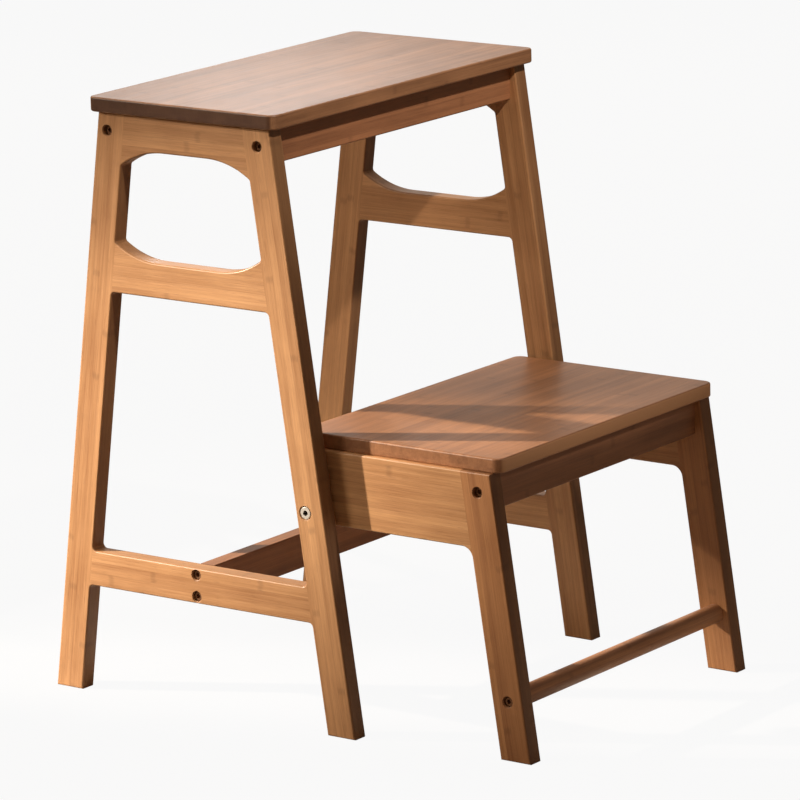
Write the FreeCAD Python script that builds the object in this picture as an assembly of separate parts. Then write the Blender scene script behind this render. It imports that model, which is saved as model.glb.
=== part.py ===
import FreeCAD, Part
import math
import os

# A wooden step stool that folds: a stool of two leaning side frames under a seat board, and a lower step
# that turns on two bolts through the stool's front legs and stows upside down between the side frames.
# Sizes are in millimetres. X runs across the stool, Y from the step towards the back, Z up. The origin is
# on the floor in the middle of the open stool.

# Overall sizes
seat_height = 500.0
tread_height = 242.0
frame_width = 352.0
floor_spread = 306.6
top_spread = 171.6
step_reach = 156.8

# Stock the pieces are cut from
frame_thickness = 15.0
board_thickness = 12.0
apron_thickness = 15.0
cross_rail_thickness = 15.0
edge_round = 1.5

# Legs, measured level across the wood
leg_width = 27.1
step_leg_width = 28.3
step_leg_lean = 0.1443

# Rails of the side frames
top_rail_height = 29.2
middle_rail_low = 340.2
middle_rail_height = 28.3
bottom_rail_low = 91.0
bottom_rail_height = 29.5
flare_radius = 76.0
flare_rise = 13.3
flare_corner_round = 3.0
rail_corner_round = 4.0

# Boards
seat_overhang = 8.0
seat_side_overhang = 4.5
tread_front_overhang = 7.5
tread_rear_overhang = 5.5
tread_side_inset = 4.0
seat_corner_round = 8.0
tread_corner_round = 8.0
seat_edge_round = 1.6
tread_edge_round = 1.6

# Step side panels
panel_below_pivot = 12.4
heel_length = 16.5
heel_round = 13.0
panel_corner_round = 10.0

# Aprons, cross rail and rung
seat_apron_height = 30.0
step_apron_height = 32.0
cross_rail_offset = 2.0
rung_radius = 8.0
rung_height = 48.3
rung_inset = 13.5
rung_socket_depth = 4.0

# Glued joints: stub tenons in blind mortises
tenon_thickness = 5.0
tenon_depth = 16.0
top_tenon_depth = 7.0
panel_tenon_depth = 8.0
tenon_shoulder = 5.0
glue_gap = 0.1
glue_pocket = 1.0
tenon_root = 2.0

# Bolts and barrel nuts that draw the aprons to the frames
front_bolt_inset = 14.5
rear_bolt_inset = 10.5
bolt_recess = 6.5
bolt_radius = 2.5
bolt_head_radius = 3.9
bolt_head_height = 3.2
bolt_socket_width = 3.5
bolt_socket_depth = 2.0
bolt_past_nut = 4.0
head_chamfer = 0.4
barrel_nut_radius = 5.0
barrel_nut_length = 12.0
barrel_nut_inset = 22.0
bolt_hole_gap = 0.25
bolt_hole_spare = 1.0
head_hole_gap = 0.3
hole_mouth_chamfer = 0.8
thread_gap = 0.05

# Wood screws
screw_recess = 5.0
screw_radius = 2.5
screw_head_radius = 3.9
screw_head_height = 3.0
screw_socket_width = 3.5
screw_socket_depth = 2.0
cross_rail_screw_length = 50.0
cross_rail_screw_pitch = 18.0
rung_screw_length = 38.0
board_screw_inset = 46.0
board_screw_recess = 12.0
board_screw_bite = 8.0
board_screw_radius = 2.0

# Fold pivot
side_gap = 3.5
pivot_inset = 17.8
stow_gap = 0.3
sleeve_radius = 4.5
sleeve_flange_radius = 8.0
sleeve_flange_thickness = 2.0
pivot_head_radius = 5.0
pivot_head_height = 2.3
pivot_head_recess = 2.5
pivot_shank_length = 22.0
pivot_thread_radius = 3.0
pivot_socket_width = 4.0
pivot_socket_depth = 3.0
washer_radius = 9.0
running_clearance = 0.08
running_gap = 0.15
press_gap = 0.05

# How the solids are cut
cut_past = 1.0
tiny = 0.01
leg_clearance = 5.0
rail_corner_share = 0.5
flare_corner_share = 0.25

# Places that follow from the sizes above
LEFT = -1
RIGHT = 1
FRONT = -1
REAR = 1
main_middle = step_reach / 2
frame_top = seat_height - board_thickness
main_lean = (floor_spread - top_spread) / 2 / frame_top
middle_rail_top = middle_rail_low + middle_rail_height
bottom_rail_top = bottom_rail_low + bottom_rail_height
top_rail_low = frame_top - top_rail_height
inner_half = frame_width / 2 - frame_thickness
step_half = inner_half - side_gap
step_inner_half = step_half - frame_thickness
step_frame_top = tread_height - board_thickness
step_foot = main_middle - floor_spread / 2 - step_reach
pivot_z = (tread_height + bottom_rail_top + stow_gap) / 2
panel_low = pivot_z - panel_below_pivot
pivot_y = main_middle - floor_spread / 2 + main_lean * pivot_z + pivot_inset
panel_end = pivot_y + heel_length
cross_rail_y = main_middle + cross_rail_offset
seat_bolt_z = frame_top - seat_apron_height / 2
step_bolt_z = step_frame_top - step_apron_height / 2

nodes = {}


def point(x, y, z):
    return FreeCAD.Vector(x, y, z)


def block(x_pair, y_pair, z_pair):
    size = [pair[1] - pair[0] for pair in (x_pair, y_pair, z_pair)]
    return Part.makeBox(size[0], size[1], size[2], point(x_pair[0], y_pair[0], z_pair[0]))


def rod(start, direction, radius, length):
    return Part.makeCylinder(radius, length, start, direction)


def spread(middle, size):
    return (middle - size / 2, middle + size / 2)


def side_pair(side, outer_half, inner):
    """X range of a plate whose outer face is outer_half from the middle, on the given side."""
    return tuple(sorted((side * outer_half, side * inner)))


# Lines of the legs in the side view
def main_leg_y(end, z, inset=0.0):
    """Y of a line parallel to a main leg's outer edge, inset level from it."""
    return main_middle + end * (floor_spread / 2 - main_lean * z - inset)


def step_leg_y(z, inset=0.0):
    """Y of a line parallel to a step leg's front edge, inset level from it."""
    return step_foot + step_leg_lean * z + inset


# Outlines in the side view, drawn at X = 0 from (y, z) pairs
def line(a, b):
    return Part.LineSegment(point(0, a[0], a[1]), point(0, b[0], b[1])).toShape()


def flare_arc(end_y, rail_z, toward, rise, radius):
    """Arc that leaves a rail's edge at rail_z smoothly and meets a leg at end_y, rise above or below it.

    toward is 1 where the arc runs to larger Y. Returns the arc and its start on the rail.
    """
    turn = math.acos(1 - abs(rise) / radius)
    start_y = end_y - toward * radius * math.sin(turn)
    lift = math.copysign(1, rise)
    corners = []
    for angle in (0, turn / 2, turn):
        y = start_y + toward * radius * math.sin(angle)
        z = rail_z + lift * radius * (1 - math.cos(angle))
        corners.append(point(0, y, z))
    return Part.Arc(corners[0], corners[1], corners[2]).toShape(), (start_y, rail_z)


def polygon(corners):
    edges = [line(a, b) for a, b in zip(corners, corners[1:] + corners[:1])]
    return Part.Wire(edges)


def leg_inner(end, z):
    return main_leg_y(end, z, leg_width)


def upper_opening():
    """Hand hole between the top and middle rails, with a flare in each corner."""
    low = middle_rail_top + flare_rise
    high = top_rail_low - flare_rise
    edges = []
    flat_ends = {}
    for rail_z, leg_z, rise in ((middle_rail_top, low, flare_rise), (top_rail_low, high, -flare_rise)):
        for end in (FRONT, REAR):
            arc, start = flare_arc(leg_inner(end, leg_z), rail_z, end, rise, flare_radius)
            edges.append(arc)
            flat_ends[rail_z, end] = start
        edges.append(line(flat_ends[rail_z, FRONT], flat_ends[rail_z, REAR]))
    for end in (FRONT, REAR):
        edges.append(line((leg_inner(end, low), low), (leg_inner(end, high), high)))
    return Part.Wire(Part.__sortEdges__(edges))


def lower_opening():
    """Space between the middle and bottom rails."""
    low = bottom_rail_top
    high = middle_rail_low
    corners = [(leg_inner(FRONT, low), low), (leg_inner(FRONT, high), high)]
    return polygon(corners + [(leg_inner(REAR, high), high), (leg_inner(REAR, low), low)])


def main_outline():
    """Outer edge of a side frame: two legs joined at the top and by the bottom rail."""
    corners = [(main_leg_y(FRONT, 0), 0), (main_leg_y(FRONT, frame_top), frame_top)]
    corners += [(main_leg_y(REAR, frame_top), frame_top), (main_leg_y(REAR, 0), 0)]
    corners += [(leg_inner(REAR, 0), 0), (leg_inner(REAR, bottom_rail_low), bottom_rail_low)]
    corners += [(leg_inner(FRONT, bottom_rail_low), bottom_rail_low), (leg_inner(FRONT, 0), 0)]
    return polygon(corners)


def step_outline():
    """Outer edge of a step side: a leg, and a panel that ends in a rounded heel round the pivot."""
    meet = (step_leg_y(panel_low, step_leg_width), panel_low)
    heel_top = (panel_end, panel_low + heel_round)
    heel_low = (panel_end - heel_round, panel_low)
    heel_middle = heel_round * (1 - math.sqrt(0.5))
    heel = Part.Arc(
        point(0, heel_top[0], heel_top[1]),
        point(0, panel_end - heel_middle, panel_low + heel_middle),
        point(0, heel_low[0], heel_low[1]),
    ).toShape()
    corners = [meet, (step_leg_y(0, step_leg_width), 0), (step_leg_y(0), 0)]
    corners += [(step_leg_y(step_frame_top), step_frame_top), (panel_end, step_frame_top), heel_top]
    edges = [line(a, b) for a, b in zip(corners, corners[1:])]
    return Part.Wire(Part.__sortEdges__(edges + [heel, line(heel_low, meet)]))


def corner_edges(plate, corners):
    """Edges of a plate that run along X through the given corners of its outline."""
    found = []
    for edge in plate.Edges:
        box = edge.BoundBox
        if box.YLength > tiny or box.ZLength > tiny:
            continue
        if any(math.hypot(box.YMin - y, box.ZMin - z) < tiny for y, z in corners):
            found.append(edge)
    return found


def rounded_plate(wires, x_pair, corner_rounds):
    """Plate with the given outline and holes, its inner corners rounded and then both its rims rounded over.

    corner_rounds is a list of (radius, corners).
    """
    face = Part.makeFace(wires, "Part::FaceMakerBullseye")
    plate = face.extrude(point(x_pair[1] - x_pair[0], 0, 0))
    for radius, corners in corner_rounds:
        plate = plate.makeFillet(radius, corner_edges(plate, corners))
    plate.translate(point(x_pair[0], 0, 0))
    rims = [edge for edge in plate.Edges if edge.BoundBox.XLength < tiny]
    return plate.makeFillet(edge_round, rims)


def side_prism(corners, x_pair):
    """Solid with a straight sided outline in the side view."""
    prism = Part.Face(polygon(corners)).extrude(point(x_pair[1] - x_pair[0], 0, 0))
    prism.translate(point(x_pair[0], 0, 0))
    return prism


def strip(low_line, high_line, z_pair, x_pair):
    """Leaning strip between two lines, each a function from z to y."""
    corners = [(low_line(z_pair[0]), z_pair[0]), (high_line(z_pair[0]), z_pair[0])]
    corners += [(high_line(z_pair[1]), z_pair[1]), (low_line(z_pair[1]), z_pair[1])]
    return side_prism(corners, x_pair)


def tenon(joint_line, into, depth, z_pair, side, outer_half, gap=0.0):
    """Stub tenon that runs level from a joint line into a leg. With a gap it is the tool for the mortise.

    joint_line gives the y of the joint at each z, and into is the direction of Y towards the leg.
    """
    middle = side * (outer_half - frame_thickness / 2)
    x_pair = spread(middle, tenon_thickness + 2 * gap)
    z_low = z_pair[0] + tenon_shoulder - gap
    z_high = z_pair[1] - tenon_shoulder + gap
    reach = depth + (glue_pocket if gap else 0.0)

    def root(z):
        return joint_line(z) - into * tenon_root

    def tip(z):
        return joint_line(z) + into * reach

    return strip(root, tip, (z_low, z_high), x_pair)


def leg_region(joint_line, into, width, joints, x_pair):
    """Room round a leg alone, which ends on the joint line at each joint and stands clear of it elsewhere.

    into is the direction of Y from the joint line towards the leg, and joints are rising pairs of heights.
    """
    clear = leg_clearance
    bottom = -clear
    corners = [(joint_line(bottom) + into * (width + clear), bottom)]
    corners += [(joint_line(bottom) - into * clear, bottom)]
    for low, high in joints:
        corners += [(joint_line(low) - into * clear, low), (joint_line(low), low)]
        corners += [(joint_line(high), high), (joint_line(high) - into * clear, high)]
    top = joints[-1][1] + clear
    corners += [(joint_line(top) - into * clear, top), (joint_line(top) + into * (width + clear), top)]
    return side_prism(corners, x_pair)


# Holes and fasteners along X. side says which face of the stool the head is on.
def stepped_hole(side, face_x, y, z, head_radius, recess, radius, length):
    """Recess for a head, with a chamfered mouth, and the hole behind it, cut from the face inwards."""
    inward = point(-side, 0, 0)
    start = point(face_x + side * cut_past, y, z)
    mouth_depth = hole_mouth_chamfer + cut_past
    mouth = Part.makeCone(head_radius + mouth_depth, head_radius, mouth_depth, start, inward)
    recess_cut = rod(start, inward, head_radius, recess + cut_past)
    return recess_cut.fuse(mouth).fuse(rod(point(face_x, y, z), inward, radius, length))


def hexagon(side, x, y, z, width, depth):
    """Six sided socket cut inwards from x."""
    radius = width / math.sqrt(3)
    corners = []
    for turn in range(6):
        angle = math.radians(60 * turn)
        corners.append((y + radius * math.cos(angle), z + radius * math.sin(angle)))
    return side_prism(corners, tuple(sorted((x, x - side * depth))))


def socket_screw(side, seat_x, y, z, head, shank, socket):
    """Screw with a round head outside seat_x and a shank inwards, each given as a radius and a length.

    socket is the width and depth of the six sided socket in the head.
    """
    outward = point(side, 0, 0)
    top = rod(point(seat_x, y, z), outward, head[0], head[1])
    flat = [edge for edge in top.Edges if edge.BoundBox.XLength < tiny]
    rim = [edge for edge in flat if abs(edge.BoundBox.XMin - seat_x - side * head[1]) < tiny]
    top = top.makeChamfer(head_chamfer, rim)
    body = top.fuse(rod(point(seat_x, y, z), point(-side, 0, 0), shank[0], shank[1]))
    return body.cut(hexagon(side, seat_x + side * head[1], y, z, socket[0], socket[1])).removeSplitter()


def apron_bolt(side, outer_half, y, z):
    reach = frame_thickness - bolt_recess + barrel_nut_inset + bolt_past_nut
    seat_x = side * (outer_half - bolt_recess)
    head = (bolt_head_radius, bolt_head_height)
    socket = (bolt_socket_width, bolt_socket_depth)
    return socket_screw(side, seat_x, y, z, head, (bolt_radius, reach), socket)


def bolt_hole(side, outer_half, y, z):
    """Hole for an apron bolt, through the frame and on into the apron behind it."""
    reach = frame_thickness + barrel_nut_inset + bolt_past_nut + bolt_hole_spare
    head_radius = bolt_head_radius + head_hole_gap
    radius = bolt_radius + bolt_hole_gap
    return stepped_hole(side, side * outer_half, y, z, head_radius, bolt_recess, radius, reach)


def barrel_nut(side, apron_half, y, z, into):
    """Cross dowel lying along Y inside an apron, with the bolt's thread through it."""
    x = side * (apron_half - barrel_nut_inset)
    start = y - into * barrel_nut_length / 2
    nut = rod(point(x, start, z), point(0, into, 0), barrel_nut_radius, barrel_nut_length)
    thread_half = barrel_nut_radius + cut_past
    thread_start = point(x - thread_half, y, z)
    return nut.cut(rod(thread_start, point(1, 0, 0), bolt_radius + thread_gap, 2 * thread_half))


def barrel_nut_hole(side, apron_half, y, z, into):
    """Blind hole for a cross dowel, open on the apron's inner face."""
    x = side * (apron_half - barrel_nut_inset)
    start = y - into * (barrel_nut_length / 2 + press_gap)
    return rod(point(x, start, z), point(0, into, 0), barrel_nut_radius + press_gap, apron_thickness)


def wood_screw(side, outer_half, y, z, length):
    seat_x = side * (outer_half - screw_recess)
    head = (screw_head_radius, screw_head_height)
    socket = (screw_socket_width, screw_socket_depth)
    return socket_screw(side, seat_x, y, z, head, (screw_radius, length), socket)


def screw_hole(side, outer_half, y, z, length):
    head_radius = screw_head_radius + head_hole_gap
    radius = screw_radius + thread_gap
    reach = screw_recess + length
    return stepped_hole(side, side * outer_half, y, z, head_radius, screw_recess, radius, reach)


# Places of the fasteners
def seat_bolt_y(end):
    inset = front_bolt_inset if end == FRONT else rear_bolt_inset
    return main_leg_y(end, seat_bolt_z, inset)


step_front_bolt_y = step_leg_y(step_bolt_z, front_bolt_inset)
step_rear_bolt_y = panel_end - apron_thickness / 2
rung_y = step_leg_y(rung_height, rung_inset)
cross_rail_screws_z = spread(bottom_rail_low + bottom_rail_height / 2, cross_rail_screw_pitch)


def pivot_bore(side):
    """Hole in a front leg for the pivot's sleeve, with a recess for the bolt's head."""
    face_x = side * frame_width / 2
    head_radius = pivot_head_radius + head_hole_gap
    radius = sleeve_radius + press_gap
    reach = frame_thickness + cut_past
    return stepped_hole(side, face_x, pivot_y, pivot_z, head_radius, pivot_head_recess, radius, reach)


# Main side frames
def make_side_frame(side):
    """Glue up one side frame, round its edges in one go and part it into its legs and rails."""
    outer_half = frame_width / 2
    x_pair = side_pair(side, outer_half, inner_half)
    cut_pair = (x_pair[0] - cut_past, x_pair[1] + cut_past)
    flare_ends = (middle_rail_top + flare_rise, top_rail_low - flare_rise)
    rail_edges = (bottom_rail_low, bottom_rail_top, middle_rail_low)
    flare_corners = [(leg_inner(end, z), z) for end in (FRONT, REAR) for z in flare_ends]
    rail_corners = [(leg_inner(end, z), z) for end in (FRONT, REAR) for z in rail_edges]
    rounds = [(flare_corner_round, flare_corners), (rail_corner_round, rail_corners)]
    frame = rounded_plate([main_outline(), upper_opening(), lower_opening()], x_pair, rounds)
    word = "left" if side == LEFT else "right"
    corner_reach = rail_corner_round * rail_corner_share
    flare_reach = flare_rise + flare_corner_round * flare_corner_share
    rails = {
        "bottom_rail": ((bottom_rail_low, bottom_rail_top), (corner_reach, corner_reach), tenon_depth),
        "middle_rail": ((middle_rail_low, middle_rail_top), (corner_reach, flare_reach), tenon_depth),
        "top_rail": ((top_rail_low, frame_top), (flare_reach, cut_past), top_tenon_depth),
    }
    joints = [(z_pair[0] - rises[0], z_pair[1] + rises[1]) for z_pair, rises, depth in rails.values()]
    lines = {end: lambda z, e=end: leg_inner(e, z) for end in (FRONT, REAR)}
    regions = {end: leg_region(lines[end], end, leg_width, joints, cut_pair) for end in (FRONT, REAR)}
    between = frame.cut(regions[FRONT]).cut(regions[REAR])
    mortises = {FRONT: [], REAR: []}
    for (rail_name, (z_pair, rises, depth)), joint in zip(rails.items(), joints):
        band_z = (joint[0] - cut_past, joint[1] + cut_past)
        band = block(cut_pair, (main_leg_y(FRONT, 0), main_leg_y(REAR, 0)), band_z)
        rail = between.common(band)
        for end in (FRONT, REAR):
            rail = rail.fuse(tenon(lines[end], end, depth, z_pair, side, outer_half))
            mortises[end].append(tenon(lines[end], end, depth, z_pair, side, outer_half, glue_gap))
        if rail_name == "bottom_rail":
            for z in cross_rail_screws_z:
                rail = rail.cut(screw_hole(side, outer_half, cross_rail_y, z, cross_rail_screw_length))
        nodes[word + "_" + rail_name] = rail.removeSplitter()
    for end, leg_name in ((FRONT, "front_leg"), (REAR, "rear_leg")):
        leg = frame.common(regions[end])
        for mortise in mortises[end]:
            leg = leg.cut(mortise)
        leg = leg.cut(bolt_hole(side, outer_half, seat_bolt_y(end), seat_bolt_z))
        if end == FRONT:
            leg = leg.cut(pivot_bore(side))
        nodes[word + "_" + leg_name] = leg


# Boards
def make_board(half_width, y_pair, top, corner_round, board_edge_round):
    """Board with rounded corners in plan and rounded over edges."""
    board = block((-half_width, half_width), y_pair, (top - board_thickness, top))
    corners = [edge for edge in board.Edges if edge.BoundBox.ZLength > tiny]
    board = board.makeFillet(corner_round, corners)
    rims = [edge for edge in board.Edges if edge.BoundBox.ZLength < tiny]
    return board.makeFillet(board_edge_round, rims)


def board_screw_cut(x, y, apron_low, apron_height):
    """Stepped hole up through an apron into the board above it."""
    up = point(0, 0, 1)
    head_start = point(x, y, apron_low - cut_past)
    head_cut = rod(head_start, up, screw_head_radius + head_hole_gap, board_screw_recess + cut_past)
    reach = apron_height + board_screw_bite
    return head_cut.fuse(rod(point(x, y, apron_low), up, board_screw_radius + thread_gap, reach))


def board_screw(x, y, apron_low, apron_height):
    """Round headed screw, driven upwards, its head in the apron's recess."""
    up = point(0, 0, 1)
    seat_z = apron_low + board_screw_recess
    head = rod(point(x, y, seat_z - screw_head_height), up, screw_head_radius, screw_head_height)
    reach = apron_height - board_screw_recess + board_screw_bite
    return head.fuse(rod(point(x, y, seat_z), up, board_screw_radius, reach))


def make_apron(half_length, y, top, height):
    """Rail under a board between two frames, its long lower edges rounded over."""
    apron = block((-half_length, half_length), spread(y, apron_thickness), (top - height, top))
    long_edges = [edge for edge in apron.Edges if edge.BoundBox.XLength > tiny + apron_thickness]
    low_edges = [edge for edge in long_edges if edge.BoundBox.ZMax < top - height + tiny]
    return apron.makeFillet(edge_round, low_edges)


def make_board_set(board, apron_places, half_length, outer_half, top, height, bolt_z):
    """Aprons with their bolts, nuts and board screws. A place is (node name, y, way to the inner face)."""
    bolts, nuts, screws = [], [], []
    for name, y, inner in apron_places:
        apron = make_apron(half_length, y, top, height)
        for side in (LEFT, RIGHT):
            apron = apron.cut(bolt_hole(side, outer_half, y, bolt_z))
            apron = apron.cut(barrel_nut_hole(side, half_length, y, bolt_z, inner))
            bolts.append(apron_bolt(side, outer_half, y, bolt_z))
            nuts.append(barrel_nut(side, half_length, y, bolt_z, inner))
            screw_x = side * (half_length - board_screw_inset)
            cut = board_screw_cut(screw_x, y, top - height, height)
            apron = apron.cut(cut)
            board = board.cut(cut)
            screws.append(board_screw(screw_x, y, top - height, height))
        nodes[name] = apron
    return board, bolts, nuts, screws


def make_seat():
    y_pair = spread(main_middle, top_spread + 2 * seat_overhang)
    half_width = frame_width / 2 + seat_side_overhang
    board = make_board(half_width, y_pair, seat_height, seat_corner_round, seat_edge_round)
    places = [("seat_front_apron", seat_bolt_y(FRONT), REAR), ("seat_rear_apron", seat_bolt_y(REAR), FRONT)]
    heights = (frame_top, seat_apron_height, seat_bolt_z)
    made = make_board_set(board, places, inner_half, frame_width / 2, *heights)
    nodes["seat_board"] = made[0]
    nodes["seat_apron_bolts"] = Part.makeCompound(made[1])
    nodes["seat_barrel_nuts"] = Part.makeCompound(made[2])
    nodes["seat_board_screws"] = Part.makeCompound(made[3])


def make_cross_rail():
    """Rail between the two bottom rails, on which the stowed step comes to rest."""
    z_pair = (bottom_rail_low, bottom_rail_top)
    rail = block((-inner_half, inner_half), spread(cross_rail_y, cross_rail_thickness), z_pair)
    long_edges = [edge for edge in rail.Edges if edge.BoundBox.XLength > tiny + cross_rail_thickness]
    rail = rail.makeFillet(edge_round, long_edges)
    screws = []
    for side in (LEFT, RIGHT):
        for z in cross_rail_screws_z:
            rail = rail.cut(screw_hole(side, frame_width / 2, cross_rail_y, z, cross_rail_screw_length))
            screws.append(wood_screw(side, frame_width / 2, cross_rail_y, z, cross_rail_screw_length))
    nodes["bottom_cross_rail"] = rail
    nodes["cross_rail_screws"] = Part.makeCompound(screws)


# Fold pivot: a bolt from outside into a flanged sleeve from inside, on which the step's panel turns
def make_pivot(side):
    word = "left" if side == LEFT else "right"
    outer_x = side * frame_width / 2
    seat_x = outer_x - side * pivot_head_recess
    inward = point(-side, 0, 0)
    head = (pivot_head_radius, pivot_head_height)
    shank = (pivot_thread_radius, pivot_shank_length)
    socket = (pivot_socket_width, pivot_socket_depth)
    nodes[word + "_pivot_bolt"] = socket_screw(side, seat_x, pivot_y, pivot_z, head, shank, socket)

    barrel_length = frame_thickness - pivot_head_recess + side_gap + frame_thickness + running_gap
    flange_x = seat_x - side * barrel_length
    barrel = rod(point(seat_x, pivot_y, pivot_z), inward, sleeve_radius, barrel_length)
    flange = rod(point(flange_x, pivot_y, pivot_z), inward, sleeve_flange_radius, sleeve_flange_thickness)
    bore_length = pivot_shank_length + bolt_hole_spare
    bore = rod(point(seat_x, pivot_y, pivot_z), inward, pivot_thread_radius + thread_gap, bore_length)
    flange_face_x = flange_x - side * sleeve_flange_thickness
    drive = hexagon(-side, flange_face_x, pivot_y, pivot_z, pivot_socket_width, pivot_socket_depth)
    nodes[word + "_pivot_sleeve"] = barrel.fuse(flange).cut(bore).cut(drive).removeSplitter()

    washer_start = point(side * inner_half, pivot_y, pivot_z)
    thickness = side_gap - running_gap
    washer = rod(washer_start, inward, washer_radius, thickness)
    washer_bore = rod(washer_start, inward, sleeve_radius + press_gap, thickness)
    nodes[word + "_pivot_washer"] = washer.cut(washer_bore)


# Lower step
def make_step_side(side):
    """Round one step side in one go and part it into its leg and panel."""
    x_pair = side_pair(side, step_half, step_inner_half)
    cut_pair = (x_pair[0] - cut_past, x_pair[1] + cut_past)
    panel_corner = (step_leg_y(panel_low, step_leg_width), panel_low)
    plate = rounded_plate([step_outline()], x_pair, [(panel_corner_round, [panel_corner])])
    word = "left" if side == LEFT else "right"

    def joint_line(z):
        return step_leg_y(z, step_leg_width)

    joint = (panel_low - panel_corner_round * rail_corner_share, step_frame_top + cut_past)
    region = leg_region(joint_line, -1, step_leg_width, [joint], cut_pair)
    z_pair = (panel_low, step_frame_top)
    panel = plate.cut(region).fuse(tenon(joint_line, -1, panel_tenon_depth, z_pair, side, step_half))
    panel = panel.cut(bolt_hole(side, step_half, step_rear_bolt_y, step_bolt_z))
    pivot_hole_radius = sleeve_radius + running_clearance
    pivot_hole_start = point(side * (step_half + cut_past), pivot_y, pivot_z)
    pivot_hole_length = frame_thickness + 2 * cut_past
    panel = panel.cut(rod(pivot_hole_start, point(-side, 0, 0), pivot_hole_radius, pivot_hole_length))
    nodes[word + "_step_panel"] = panel.removeSplitter()

    leg = plate.common(region)
    leg = leg.cut(tenon(joint_line, -1, panel_tenon_depth, z_pair, side, step_half, glue_gap))
    leg = leg.cut(bolt_hole(side, step_half, step_front_bolt_y, step_bolt_z))
    leg = leg.cut(screw_hole(side, step_half, rung_y, rung_height, rung_screw_length))
    socket_depth = rung_socket_depth + press_gap
    socket_start = point(side * (step_inner_half - cut_past), rung_y, rung_height)
    leg = leg.cut(rod(socket_start, point(side, 0, 0), rung_radius + press_gap, socket_depth + cut_past))
    nodes[word + "_step_leg"] = leg


def make_tread():
    y_pair = (step_leg_y(step_frame_top) - tread_front_overhang, panel_end + tread_rear_overhang)
    half_width = step_half - tread_side_inset
    board = make_board(half_width, y_pair, tread_height, tread_corner_round, tread_edge_round)
    places = [("step_front_apron", step_front_bolt_y, REAR), ("step_rear_apron", step_rear_bolt_y, FRONT)]
    heights = (step_frame_top, step_apron_height, step_bolt_z)
    made = make_board_set(board, places, step_inner_half, step_half, *heights)
    nodes["step_board"] = made[0]
    nodes["step_apron_bolts"] = Part.makeCompound(made[1])
    nodes["step_barrel_nuts"] = Part.makeCompound(made[2])
    nodes["step_board_screws"] = Part.makeCompound(made[3])


def make_rung():
    """Round rung let a little way into the step legs and screwed from outside."""
    half_length = step_inner_half + rung_socket_depth
    rung = rod(point(-half_length, rung_y, rung_height), point(1, 0, 0), rung_radius, 2 * half_length)
    screws = []
    for side in (LEFT, RIGHT):
        rung = rung.cut(screw_hole(side, step_half, rung_y, rung_height, rung_screw_length))
        screws.append(wood_screw(side, step_half, rung_y, rung_height, rung_screw_length))
    nodes["step_rung"] = rung
    nodes["step_rung_screws"] = Part.makeCompound(screws)


for stool_side in (LEFT, RIGHT):
    make_side_frame(stool_side)
    make_pivot(stool_side)
    make_step_side(stool_side)
make_seat()
make_cross_rail()
make_tread()
make_rung()

os.makedirs("parts", exist_ok=True)
for node_name, shape in nodes.items():
    shape.exportStep("parts/" + node_name + ".step")
    print(node_name, "solids", len(shape.Solids), "volume", round(shape.Volume), "valid", shape.isValid())
print("pivot at", round(pivot_y, 3), round(pivot_z, 3))
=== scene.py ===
# %% [markdown]
# # A folding step stool in stained bamboo
# The real object is a small wooden stool with two leaning side frames and a seat board, and a lower step
# that flips over on two bolts and stows between the frames. Its solids come from the CAD model and already
# have their joints, rounded rims, bolts and holes. So this lesson is about everything that makes such
# solids read as wood: light, a camera, and materials whose grain follows each piece.

# %% Load the stool
import math

import bpy
from mathutils import Matrix, Quaternion, Vector

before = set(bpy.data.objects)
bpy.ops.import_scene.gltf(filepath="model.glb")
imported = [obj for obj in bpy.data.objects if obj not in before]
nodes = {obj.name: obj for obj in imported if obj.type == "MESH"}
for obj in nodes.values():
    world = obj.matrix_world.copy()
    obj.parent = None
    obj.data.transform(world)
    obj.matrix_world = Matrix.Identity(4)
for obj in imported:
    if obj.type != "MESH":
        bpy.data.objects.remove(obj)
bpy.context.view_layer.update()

print("pieces in the stool:", len(nodes))

# %% [markdown]
# ## The camera
# A long lens, far from the stool, keeps its uprights almost parallel. The camera stands at the front left,
# a little above the seat, and leans by one and a half degrees. Building its axes from three angles is
# clearer than guessing at Euler angles, and it keeps the picture's lean as a number of its own.

# %% Place the camera
def link(thing):
    bpy.context.scene.collection.objects.link(thing)
    return thing


def aimed_matrix(place, heading, pitch, lean):
    """Camera matrix from a place and three angles in degrees. Heading is from +Y towards +X."""
    heading, pitch, lean = (math.radians(angle) for angle in (heading, pitch, lean))
    ahead = Vector((math.sin(heading) * math.cos(pitch), math.cos(heading) * math.cos(pitch),
                    math.sin(pitch)))
    level_right = Vector((math.cos(heading), -math.sin(heading), 0.0))
    level_up = level_right.cross(ahead)
    right = level_right * math.cos(lean) + level_up * math.sin(lean)
    up = right.cross(ahead)
    matrix = Matrix((right, up, -ahead)).transposed().to_4x4()
    matrix.translation = Vector(place)
    return matrix


camera_data = bpy.data.cameras.new("camera")
camera_data.sensor_width = 36.0
camera_data.lens = 238.83
camera_data.clip_end = 60.0
camera = link(bpy.data.objects.new("camera", camera_data))
camera.matrix_world = aimed_matrix((-3.4149, -2.5006, 1.2357), heading=53.775, pitch=-13.3205, lean=-1.4443)
bpy.context.scene.camera = camera
print("lens in millimetres:", camera_data.lens)

# %% [markdown]
# ## The floor
# A studio floor is a large pale sheet. Lit only by the lamps it would come out grey, and more light would
# spoil the wood. So its material is mostly plain white for rays that come from the camera, and paint for
# all others. The small share of paint that the camera still sees keeps a soft shadow under the stool.

# %% Make the floor
plain_white = (1.0, 1.0, 1.0, 1.0)
white_share = 0.935
floor_half = 9.0


def clear_tree(tree):
    for node in list(tree.nodes):
        tree.nodes.remove(node)


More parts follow.
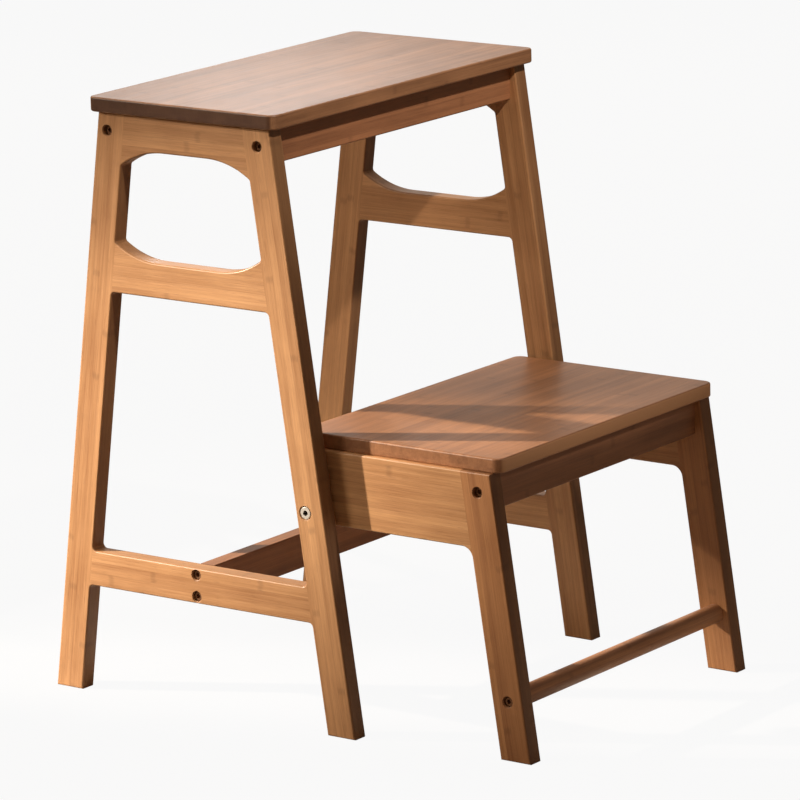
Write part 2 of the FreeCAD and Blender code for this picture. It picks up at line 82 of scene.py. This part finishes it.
def add_node(tree, kind, values=None, **settings):
    """New node with its settings and its sockets. A value that is a socket is linked, others are typed in."""
    node = tree.nodes.new(kind)
    for name, value in settings.items():
        setattr(node, name, value)
    for name, value in (values or {}).items():
        socket = node.inputs[name]
        if isinstance(value, bpy.types.NodeSocket):
            tree.links.new(value, socket)
        else:
            socket.default_value = value
    return node


def new_material(name):
    """Material with an empty node tree."""
    material = bpy.data.materials.new(name)
    material.use_nodes = True
    clear_tree(material.node_tree)
    return material


corners = [(-floor_half, -floor_half, 0.0), (floor_half, -floor_half, 0.0),
           (floor_half, floor_half, 0.0), (-floor_half, floor_half, 0.0)]
floor_mesh = bpy.data.meshes.new("floor")
floor_mesh.from_pydata(corners, [], [(0, 1, 2, 3)])
floor = link(bpy.data.objects.new("floor", floor_mesh))

floor_paint = new_material("floor_paint")
tree = floor_paint.node_tree
rays = add_node(tree, "ShaderNodeLightPath")
share = add_node(tree, "ShaderNodeMath", {0: rays.outputs["Is Camera Ray"], 1: white_share},
                 operation="MULTIPLY")
paint = add_node(tree, "ShaderNodeBsdfDiffuse", {"Color": (0.48, 0.44, 0.40, 1.0)})
white = add_node(tree, "ShaderNodeEmission", {"Color": plain_white, "Strength": 1.0})
both = add_node(tree, "ShaderNodeMixShader", {0: share.outputs[0], 1: paint.outputs[0], 2: white.outputs[0]})
add_node(tree, "ShaderNodeOutputMaterial", {"Surface": both.outputs[0]})
floor_mesh.materials.append(floor_paint)
print("floor is", 2 * floor_half, "m square")

# %% [markdown]
# ## The room
# Light that has bounced round a room fills the shadows. A warm and weak world does that here, and the wood
# keeps its depth because it is weak. The camera sees another world, as pale as the floor, so that no
# horizon shows behind the stool.

# %% Light the room
fill_strength = 0.155
backdrop_strength = 0.945

room = bpy.data.worlds.new("room")
bpy.context.scene.world = room
room.use_nodes = True
tree = room.node_tree
clear_tree(tree)
rays = add_node(tree, "ShaderNodeLightPath")
fill = add_node(tree, "ShaderNodeBackground", {"Color": (1.0, 0.74, 0.52, 1.0), "Strength": fill_strength})
backdrop = add_node(tree, "ShaderNodeBackground", {"Color": plain_white, "Strength": backdrop_strength})
seen = add_node(tree, "ShaderNodeMixShader", {0: rays.outputs["Is Camera Ray"], 1: fill.outputs[0],
                                              2: backdrop.outputs[0]})
add_node(tree, "ShaderNodeOutputWorld", {"Surface": seen.outputs[0]})
bpy.context.scene.view_settings.view_transform = "Standard"
print("fill light:", fill_strength)

# %% [markdown]
# ## Lamps with a shaped beam
# The main lamp stands behind the stool on its left and quite low, like afternoon sun. It grazes the near
# side frame, misses the fronts of the legs and aprons, and throws the frame's openings across the lower
# step as patches of light. Its beam is a narrow leaning ellipse with a soft edge, so it is strongest on the
# near frame and fades towards the seat and the far frame. A wide glow from the same side softens that. A
# steeper lamp from the front picks out the seat's front edge, and a thin flat one the edge of the lower
# step. Lacquer shows its sheen where a light stands opposite the eye, so a weak lamp behind the stool
# faces the seat board. A spot lamp gives an ellipse when its object is stretched to one side.

# %% Hang the lamps
def beam(name, aim, way, distance, brightness, opening, radius, colour, narrow=1.0, roll=0.0):
    """Soft edged lamp that shines the given way at a point. Brightness is the light that arrives there.

    Narrow makes the round beam an upright ellipse below 1 and a level one above it. Roll leans it.
    Opening and roll are in degrees."""
    data = bpy.data.lights.new(name, "SPOT")
    data.energy = brightness * 4.0 * math.pi * distance ** 2
    data.spot_size = math.radians(opening)
    data.spot_blend = 1.0
    data.shadow_soft_size = radius
    data.color = colour
    lamp = link(bpy.data.objects.new(name, data))
    way = Vector(way).normalized()
    lamp.location = Vector(aim) - way * distance
    turn = way.to_track_quat("-Z", "Y") @ Quaternion((0.0, 0.0, 1.0), math.radians(roll))
    lamp.rotation_euler = turn.to_euler()
    lamp.scale = (narrow, 1.0, 1.0)
    print(name, "stands at", [round(value, 2) for value in lamp.location])


beam("low_lamp", aim=(-0.176, 0.217, 0.144), way=(1.0, -1.75, -1.04), distance=3.2, brightness=10.1,
     opening=19.5, radius=0.045, colour=(1.0, 0.90, 0.78), narrow=0.248, roll=-23.3)
beam("glow_lamp", aim=(-0.05, 0.02, 0.32), way=(1.0, -0.7, -0.6), distance=2.6, brightness=1.0,
     opening=40.0, radius=0.35, colour=(1.0, 0.86, 0.72))
beam("front_lamp", aim=(0.06, 0.0, 0.48), way=(0.39, 1.0, -1.1), distance=2.6, brightness=2.9,
     opening=10.6, radius=0.05, colour=(1.0, 0.89, 0.79), narrow=1.7)
beam("edge_lamp", aim=(0.0, -0.193, 0.252), way=(0.0, 1.0, -0.75), distance=2.6, brightness=0.95,
     opening=1.54, radius=0.01, colour=(1.0, 0.92, 0.90), narrow=8.0)
beam("sheen_lamp", aim=(-0.264, 0.055, 0.488), way=(-0.785, -0.575, -0.36), distance=4.0, brightness=0.21,
     opening=6.9, radius=0.15, colour=(0.97, 0.98, 1.0), narrow=2.4)

# %% [markdown]
# ## Two soft panels
# Large flat lamps make no hard shadow. One overhead lifts the tops of the boards, and one behind the stool
# is mirrored faintly in the lacquer of both boards, which shows that they are smooth.

# %% Hang the panels
def panel(name, place, aim, width, height, energy, colour):
    """Flat soft lamp that faces a point."""
    data = bpy.data.lights.new(name, "AREA")
    data.shape = "RECTANGLE"
    data.size, data.size_y = width, height
    data.energy = energy
    data.color = colour
    lamp = link(bpy.data.objects.new(name, data))
    lamp.location = place
    lamp.rotation_euler = (Vector(aim) - Vector(place)).to_track_quat("-Z", "Y").to_euler()
    print(name, "shines from", place)


panel("ceiling_panel", place=(0.3, -0.1, 2.4), aim=(0.0, 0.0, 0.3), width=1.4, height=1.4, energy=9.0,
      colour=(1.0, 0.93, 0.86))
panel("back_panel", place=(2.42, 1.77, 1.25), aim=(0.0, 0.0, 0.35), width=2.6, height=1.5, energy=9.5,
      colour=(1.0, 0.90, 0.80))

# %% [markdown]
# ## Bamboo, step one: a coordinate for each direction of the wood
# Laminated bamboo is made of long narrow strips glued side by side. Everything in its look depends on
# which way the strips run, so each piece gets three numbers in millimetres: how far along the grain, how
# far across it, and how deep. They come from the object's own coordinates by three dot products, so a
# leaning leg has leaning grain and the pattern stays in the wood when the step folds.

# %% Grain coordinates
millimetres = 1000.0


def grain_coordinates(tree, along, across):
    """Sockets for the distance along, across and into the wood, in millimetres."""
    depth = Vector(along).normalized().cross(Vector(across).normalized())
    place = add_node(tree, "ShaderNodeTexCoord")
    sockets = []
    for direction in (along, across, depth):
        scaled = tuple(Vector(direction).normalized() * millimetres)
        dot = add_node(tree, "ShaderNodeVectorMath", {0: place.outputs["Object"], 1: scaled},
                       operation="DOT_PRODUCT")
        sockets.append(dot.outputs["Value"])
    return sockets


print("grain coordinates count", millimetres, "to the metre")

# %% [markdown]
# ## Bamboo, step two: strips and glue lines
# Each strip has a tone of its own, and a thin glue line runs between strips. Dividing the distance across
# the grain by the strip's width gives the strip's number, and white noise gives that number its tone. The
# edges of a real strip aren't dead straight, so the distance first wanders by up to a millimetre. Boards
# have several layers of strips, and each layer is shifted, so that no glue line runs right through.

# %% Lay the strips
def compute(tree, operation, first, second=0.0, third=0.0):
    """One step of arithmetic on sockets or numbers."""
    return add_node(tree, "ShaderNodeMath", {0: first, 1: second, 2: third}, operation=operation).outputs[0]


def remap(tree, value, from_low, from_high, to_low, to_high, kind="SMOOTHSTEP"):
    """Value carried from one range to another, smoothly and without overshoot."""
    sockets = {"Value": value, "From Min": from_low, "From Max": from_high, "To Min": to_low, "To Max": to_high}
    return add_node(tree, "ShaderNodeMapRange", sockets, interpolation_type=kind).outputs["Result"]


def joined(tree, x, y, z):
    return add_node(tree, "ShaderNodeCombineXYZ", {"X": x, "Y": y, "Z": z}).outputs[0]


def lay_strips(group, inside):
    """Sockets that say, for a point in the wood, which strip it is in and how near the glue is."""
    wander_place = joined(group, compute(group, "MULTIPLY", inside["Along"], 0.006), inside["Seed"], 0.0)
    wander = add_node(group, "ShaderNodeTexNoise", {"Vector": wander_place, "Scale": 1.0, "Detail": 1.0},
                      noise_dimensions="2D")
    drift = compute(group, "MULTIPLY_ADD", wander.outputs["Fac"], 1.2, inside["Across"])

    layer = compute(group, "FLOOR", compute(group, "DIVIDE", inside["Depth"], inside["Strip depth"]))
    layer_shift = compute(group, "MULTIPLY", layer, 0.37)
    place = compute(group, "ADD", compute(group, "DIVIDE", drift, inside["Strip width"]), layer_shift)
    strip_name = joined(group, compute(group, "FLOOR", place), layer, inside["Seed"])
    chance = add_node(group, "ShaderNodeTexWhiteNoise", {"Vector": strip_name}, noise_dimensions="3D")
    parts = add_node(group, "ShaderNodeSeparateColor", {"Color": chance.outputs["Color"]})

    across_strip = compute(group, "PINGPONG", compute(group, "FRACT", place), 0.5)
    to_edge = compute(group, "MULTIPLY", across_strip, inside["Strip width"])
    glue = remap(group, to_edge, 0.05, 0.4, 1.0, 0.0)
    return {"drift": drift, "layer": layer, "tone": parts.outputs[0], "phase": parts.outputs[1], "glue": glue}


print("glue lines fade out 0.4 mm from a strip's edge")

# %% [markdown]
# ## Bamboo, step three: knuckles
# Every strip crosses a knuckle of the cane each quarter of a metre or so. It shows as a short darker bar,
# never in line with its neighbour's. The strip's own random number moves its knuckles along, and a little
# noise bends each bar.

# %% Mark the knuckles
knuckle_spacing = 270.0


def mark_knuckles(group, inside, strips):
    """Socket that is 1 on a knuckle and fades to 0 within a few millimetres."""
    bend_place = joined(group, strips["phase"], compute(group, "MULTIPLY", strips["drift"], 0.8),
                        strips["layer"])
    bend = add_node(group, "ShaderNodeTexNoise", {"Vector": bend_place, "Scale": 0.35, "Detail": 2.0},
                    noise_dimensions="3D")
    stretch = compute(group, "DIVIDE", inside["Along"], knuckle_spacing)
    bent = compute(group, "MULTIPLY_ADD", bend.outputs["Fac"], 0.018, stretch)
    own_place = compute(group, "MULTIPLY", strips["phase"], 7.0)
    beat = compute(group, "FRACT", compute(group, "ADD", bent, own_place))
    distance = compute(group, "MULTIPLY", compute(group, "PINGPONG", beat, 0.5), knuckle_spacing)
    return remap(group, distance, 0.6, 4.2, 1.0, 0.0)


print("millimetres from knuckle to knuckle:", knuckle_spacing)

# %% [markdown]
# ## Bamboo, step four: fibres, and one group for all
# Fine fibres run the whole way, with tiny dark dashes where the sap vessels are, and broad slow changes of
# tone lie under them. All are noise that is stretched along the grain, at four scales. One node group then
# joins strips, knuckles and fibres, so every piece shares the same wood.

# %% The group that makes bamboo
# How fine each streak is across the grain and along it, and the detail of its noise
fine_streak = (2.0, 0.022, 3.0)
broad_streak = (0.22, 0.006, 2.0)
cloud_streak = (0.02, 0.012, 2.0)
vessel_streak = (2.6, 0.11, 0.0)


def streaks(group, inside, drift, kind):
    """Noise stretched along the grain."""
    across_scale, along_scale, detail = kind
    place = joined(group, compute(group, "MULTIPLY", inside["Along"], along_scale),
                   compute(group, "MULTIPLY", drift, across_scale),
                   compute(group, "MULTIPLY_ADD", inside["Depth"], across_scale, inside["Seed"]))
    grain = add_node(group, "ShaderNodeTexNoise",
                     {"Vector": place, "Scale": 1.0, "Detail": detail, "Roughness": 0.6}, noise_dimensions="3D")
    return grain.outputs["Fac"]


def make_bamboo_group():
    group = bpy.data.node_groups.new("bamboo", "ShaderNodeTree")
    for name in ("Along", "Across", "Depth", "Strip width", "Strip depth", "Seed"):
        group.interface.new_socket(name, in_out="INPUT", socket_type="NodeSocketFloat")
    for name in ("Tone", "Knuckle", "Glue line", "Fibre", "Vessel"):
        group.interface.new_socket(name, in_out="OUTPUT", socket_type="NodeSocketFloat")
    inside = add_node(group, "NodeGroupInput").outputs
    outside = add_node(group, "NodeGroupOutput")

    strips = lay_strips(group, inside)
    fine, broad, cloud, dashes = (streaks(group, inside, strips["drift"], kind)
                                  for kind in (fine_streak, broad_streak, cloud_streak, vessel_streak))
    tone = 0.5
    for change, amount in ((strips["tone"], 0.22), (fine, 0.68), (broad, 0.6), (cloud, 0.55)):
        tone = compute(group, "MULTIPLY_ADD", compute(group, "SUBTRACT", change, 0.5), amount, tone)
    results = {"Tone": tone, "Knuckle": mark_knuckles(group, inside, strips), "Glue line": strips["glue"],
               "Fibre": fine, "Vessel": remap(group, dashes, 0.62, 0.72, 0.0, 1.0)}
    for name, value in results.items():
        group.links.new(value, outside.inputs[name])
    return group


bamboo_group = make_bamboo_group()
print("nodes in the bamboo group:", len(bamboo_group.nodes))

# %% [markdown]
# ## Stain and painted shade
# A painter reads a colour from 0 to 255, and Blender counts light, so one small function turns the first
# into the second. Stain sinks deepest into cut ends. Rounded rims are drawn darker too, partly as stain and
# partly as painted shade that dims the lamps' highlights on them. The direction in which a face looks tells
# both: an end looks along the grain, and on a rim no single axis is looked along.

# %% Mix the stains
def stain(red, green, blue):
    """A colour as a painter reads it from 0 to 255, as the light it sends back."""
    light = []
    for value in (red, green, blue):
        share = value / 255.0
        light.append(share / 12.92 if share <= 0.04045 else ((share + 0.055) / 1.055) ** 2.4)
    return tuple(light) + (1.0,)


# dark brown for stain in marks and ends, and also the painted shade on rims and chosen sides
stain_and_shade_brown = stain(58, 30, 16)


def tinted(tree, colour, amount, depth, tone=stain_and_shade_brown):
    """Colour drawn towards a tone where amount is high. Depth is the most of it."""
    share = compute(tree, "MULTIPLY", amount, depth)
    node = add_node(tree, "ShaderNodeMix", data_type="RGBA", blend_type="MIX")
    tree.links.new(share, node.inputs["Factor"])
    tree.links.new(colour, node.inputs["A"])
    node.inputs["B"].default_value = tone
    return node.outputs["Result"]


def face_share(tree, facing, direction, front_only=False):
    """1 on the faces square to a direction and 0 elsewhere. Front only leaves out those that look along it."""
    unit = tuple(Vector(direction).normalized())
    faced = add_node(tree, "ShaderNodeVectorMath", {0: facing, 1: unit}, operation="DOT_PRODUCT")
    if front_only:
        turned = compute(tree, "MULTIPLY", faced.outputs["Value"], -1.0)
    else:
        turned = compute(tree, "ABSOLUTE", faced.outputs["Value"])
    return remap(tree, turned, 0.75, 0.95, 0.0, 1.0)


def rim_share(tree, facing):
    """1 on rounded rims, which look along no single axis, and 0 on flat faces."""
    spread = add_node(tree, "ShaderNodeSeparateXYZ", {"Vector": facing})
    x, y, z = (compute(tree, "ABSOLUTE", spread.outputs[axis]) for axis in "XYZ")
    return remap(tree, compute(tree, "MAXIMUM", x, compute(tree, "MAXIMUM", y, z)), 0.72, 0.94, 1.0, 0.0)


print("the deepest stain sends back", [round(value, 3) for value in stain_and_shade_brown[:3]])

# %% [markdown]
# ## A stained and lacquered piece
# The colour of a piece runs between two stain tones. Knuckles, glue lines and vessels darken it a little,
# and ends, rims and chosen sides are drawn to a tone of their own: ends as stain, on the seat also as
# painted shade; rims partly as stain and partly as painted shade; sides as painted shade, and as painted
# light on the lower board's front edge. A satin lacquer lies over it as a thin coat. The fibres also raise
# the surface by a hair, which breaks up the gloss as on real wood.

# %% One finish for each piece
knuckle_depth = 0.18
glue_depth = 0.10
vessel_depth = 0.14


def fibre_bump(tree, wood):
    """Normal that feels fibres, vessels and glue lines."""
    height = compute(tree, "MULTIPLY_ADD", wood.outputs["Fibre"], 0.5,
                     compute(tree, "MULTIPLY", wood.outputs["Vessel"], -0.35))
    height = compute(tree, "MULTIPLY_ADD", wood.outputs["Glue line"], -0.4, height)
    bump = add_node(tree, "ShaderNodeBump", {"Height": height, "Strength": 0.25, "Distance": 0.0002})
    return bump.outputs["Normal"]


def bamboo_finish(name, along, across, tones, strip, seed, end_depth=0.45, rim_stain_and_shade_depth=0.34, painted_side_depth=0.0,
                  painted_side_tone=stain_and_shade_brown, front_only=False):
    """Finish whose grain runs along one direction. Sides are the faces square to the one across it.

    Strip is the width and depth of a strip in millimetres. Depths say how far ends, rims and sides are
    drawn to a tone: ends as stain, rims partly as stain and partly as painted shade, and sides as painted
    shade, or as painted light with a pale side tone. front_only leaves the back side as it is."""
    finish = new_material(name)
    tree = finish.node_tree
    far, wide, deep = grain_coordinates(tree, along, across)
    wood = add_node(tree, "ShaderNodeGroup", node_tree=bamboo_group)
    values = {"Along": far, "Across": wide, "Depth": deep}
    for socket, value in values.items():
        tree.links.new(value, wood.inputs[socket])
    wood.inputs["Strip width"].default_value, wood.inputs["Strip depth"].default_value = strip
    wood.inputs["Seed"].default_value = seed

    mix = add_node(tree, "ShaderNodeMix", data_type="RGBA", blend_type="MIX")
    tree.links.new(remap(tree, wood.outputs["Tone"], 0.1, 0.9, 0.0, 1.0, "LINEAR"), mix.inputs["Factor"])
    mix.inputs["A"].default_value, mix.inputs["B"].default_value = tones
    colour = mix.outputs["Result"]
    for mark, depth in (("Knuckle", knuckle_depth), ("Glue line", glue_depth), ("Vessel", vessel_depth)):
        colour = tinted(tree, colour, wood.outputs[mark], depth)
    facing = add_node(tree, "ShaderNodeTexCoord").outputs["Normal"]
    colour = tinted(tree, colour, face_share(tree, facing, along), end_depth)
    # painted shade on the chosen sides, or painted light when their tone is pale
    colour = tinted(tree, colour, face_share(tree, facing, across, front_only), painted_side_depth, painted_side_tone)
    # rims darkened partly as stain and partly as painted shade
    colour = tinted(tree, colour, rim_share(tree, facing), rim_stain_and_shade_depth)

    gloss = remap(tree, wood.outputs["Fibre"], 0.3, 0.7, 0.40, 0.52)
    lacquer = add_node(tree, "ShaderNodeBsdfPrincipled", {"Base Color": colour, "Roughness": gloss,
                                                          "Normal": fibre_bump(tree, wood)})
    lacquer.inputs["Coat Weight"].default_value = 0.12
    lacquer.inputs["Coat Roughness"].default_value = 0.28
    add_node(tree, "ShaderNodeOutputMaterial", {"Surface": lacquer.outputs[0]})
    return finish


def dress(node_name, finish):
    """Put a finish in every material slot of a piece of the stool."""
    piece = nodes[node_name]
    if not piece.material_slots:
        piece.data.materials.append(finish)
    for slot in piece.material_slots:
        slot.material = finish


print("marks in the wood darken it by up to", knuckle_depth)

# %% [markdown]
# ## The side frames and the step sides
# Legs lean, so their grain leans with them. The rails' grain runs level. That change of direction at each
# glued joint is what shows that a frame is several pieces of wood and not a cut-out. The legs' front and
# back faces are drawn towards dark brown as painted shade. The step's legs are a shade redder than the
# frames, and its panels a shade paler.

# %% Dress the legs, rails and panels
frame_tones = (stain(150, 101, 61), stain(216, 164, 114))
step_leg_tones = (stain(140, 88, 50), stain(205, 147, 96))
panel_tones = (stain(155, 104, 62), stain(225, 171, 118))
leg_strip = (7.0, 15.0)
rail_strip = (9.0, 15.0)
main_lean = 0.1383
step_lean = 0.1443
level = (0.0, 1.0, 0.0)
across_stool = (1.0, 0.0, 0.0)
upright = (0.0, 0.0, 1.0)
leg_leans = {"front_leg": main_lean, "rear_leg": -main_lean, "step_leg": step_lean}
seed_step = 17.3

seed = 3.0
for side in ("left", "right"):
    for part, lean in leg_leans.items():
        name = side + "_" + part
        tones = step_leg_tones if part == "step_leg" else frame_tones
        # painted shade: the front and back faces of every leg are drawn 0.55 of the way to dark brown
        dress(name, bamboo_finish(name, (0.0, lean, 1.0), (0.0, 1.0, -lean), tones, leg_strip, seed,
                                  painted_side_depth=0.55))
        seed += seed_step
    for part in ("top_rail", "middle_rail", "bottom_rail", "step_panel"):
        name = side + "_" + part
        tones = panel_tones if part == "step_panel" else frame_tones
        dress(name, bamboo_finish(name, level, upright, tones, rail_strip, seed))
        seed += seed_step
print("side pieces dressed, last seed", round(seed, 1))

# %% [markdown]
# ## Boards, aprons, cross rail and rung
# All of these run across the stool. The boards are a shade browner than the frames. The seat's ends are
# darker still, partly as end-grain stain and partly as painted shade, and its front and rear edges carry
# painted shade. The front edge of the lower board is paler, which is painted light, and the rung's tones
# are a shade lighter than the aprons', which is painted light too.

# %% Dress the boards and cross pieces
seat_tones = (stain(108, 72, 46), stain(187, 137, 98))
tread_tones = (stain(126, 82, 51), stain(198, 138, 93))
cross_tones = (stain(116, 75, 50), stain(178, 123, 85))
# painted light: the rung's tones are lighter than the other cross pieces'
painted_light_rung_tones = (stain(138, 92, 63), stain(206, 148, 106))
board_strip = (9.0, 6.0)
cross_strip = (8.0, 7.5)
# painted light: the pale tone of the lower board's front edge
painted_light_edge = stain(200, 148, 104)

# painted shade: the seat's ends are drawn 0.82 of the way to dark brown, partly as stain, and its front and
# rear edges 0.25
dress("seat_board", bamboo_finish("seat_board", across_stool, level, seat_tones, board_strip, 201.0,
                                  end_depth=0.82, rim_stain_and_shade_depth=0.05, painted_side_depth=0.25))
# painted light: the lower board's front edge is drawn 0.9 of the way to a pale tone
dress("step_board", bamboo_finish("step_board", across_stool, level, tread_tones, board_strip, 231.0,
                                  end_depth=0.2, rim_stain_and_shade_depth=0.1, painted_side_depth=0.9, painted_side_tone=painted_light_edge,
                                  front_only=True))
seed, seed_step = 300.0, 21.7
for number, name in enumerate(("seat_front_apron", "seat_rear_apron", "bottom_cross_rail",
                               "step_front_apron", "step_rear_apron", "step_rung")):
    tones = painted_light_rung_tones if name == "step_rung" else cross_tones
    dress(name, bamboo_finish(name, across_stool, upright, tones, cross_strip, seed + seed_step * number))
print("cross pieces dressed")

# %% [markdown]
# ## Metal
# A little noise in the colour and the roughness keeps metal from looking like a mirror. Metal with nothing
# to reflect looks black, so these finishes are only part metal. The pivot bolt's head has a deep socket,
# and painted shade makes that hollow dark. The distance from the bolt's axis says where that is.

# %% Make the metals
def metal_finish(name, colour, rough, metallic=1.0, socket=None):
    """Metal with fine wear. Socket is the y, z and radius in metres of a hollow with a level axis, which gets
    painted shade.
    """
    finish = new_material(name)
    tree = finish.node_tree
    place = add_node(tree, "ShaderNodeTexCoord")
    wear = add_node(tree, "ShaderNodeTexNoise",
                    {"Vector": place.outputs["Object"], "Scale": 900.0, "Detail": 3.0})
    gloss = remap(tree, wear.outputs["Fac"], 0.3, 0.7, rough - 0.06, rough + 0.08)
    shade = add_node(tree, "ShaderNodeMix", data_type="RGBA", blend_type="MIX")
    tree.links.new(remap(tree, wear.outputs["Fac"], 0.35, 0.7, 0.0, 1.0), shade.inputs["Factor"])
    shade.inputs["A"].default_value = colour
    shade.inputs["B"].default_value = tuple(channel * 0.75 for channel in colour[:3]) + (1.0,)
    metal_colour = shade.outputs["Result"]
    if socket:
        y, z, radius = socket
        offset = add_node(tree, "ShaderNodeVectorMath", {0: place.outputs["Object"], 1: (0.0, y, z)},
                          operation="SUBTRACT")
        flat = add_node(tree, "ShaderNodeVectorMath", {0: offset.outputs[0], 1: (0.0, 1.0, 1.0)},
                        operation="MULTIPLY")
        away = add_node(tree, "ShaderNodeVectorMath", {0: flat.outputs[0]}, operation="LENGTH")
        # painted shade: the pivot bolt's socket is drawn almost black
        hollow = remap(tree, away.outputs["Value"], radius * 0.92, radius * 1.05, 1.0, 0.0)
        metal_colour = tinted(tree, metal_colour, hollow, 0.9, stain(24, 18, 14))
    bump = add_node(tree, "ShaderNodeBump",
                    {"Height": wear.outputs["Fac"], "Strength": 0.15, "Distance": 0.0001})
    metal = add_node(tree, "ShaderNodeBsdfPrincipled", {"Base Color": metal_colour, "Roughness": gloss,
                                                        "Normal": bump.outputs["Normal"]})
    metal.inputs["Metallic"].default_value = metallic
    add_node(tree, "ShaderNodeOutputMaterial", {"Surface": metal.outputs[0]})
    return finish


# centre and radius of the painted shade in the pivot bolt's socket
pivot_y, pivot_z = -0.032009, 0.1814
pivot_socket_radius = 0.0022
bright_nickel = stain(244, 238, 226)
dark_steel = metal_finish("black_steel", stain(150, 110, 80), 0.42, 0.7)
zinc = metal_finish("zinc", stain(176, 176, 172), 0.38)
nickel = metal_finish("nickel", bright_nickel, 0.34, 0.4)
nickel_head = metal_finish("nickel_head", bright_nickel, 0.34, 0.4, (pivot_y, pivot_z, pivot_socket_radius))
washer_plastic = metal_finish("washer_plastic", stain(70, 52, 40), 0.55, 0.0)
print("metals made")

# %% [markdown]
# ## Fasteners
# The socket heads deep in the frames are dark browned steel. The hidden nuts and screws are zinc plated.
# The pivots, which someone who folds the stool sees and touches, are bright nickel, and a plastic washer
# keeps wood from rubbing on wood.

# %% Dress the fasteners
hidden_hardware = ("seat_barrel_nuts", "step_barrel_nuts", "seat_board_screws", "step_board_screws")
for name in nodes:
    if name.endswith("_pivot_bolt"):
        dress(name, nickel_head)
    elif name.endswith("_pivot_sleeve"):
        dress(name, nickel)
    elif name.endswith("_pivot_washer"):
        dress(name, washer_plastic)
    elif name in hidden_hardware:
        dress(name, zinc)
    elif name.endswith(("_bolts", "_screws")):
        dress(name, dark_steel)
print("fasteners dressed")
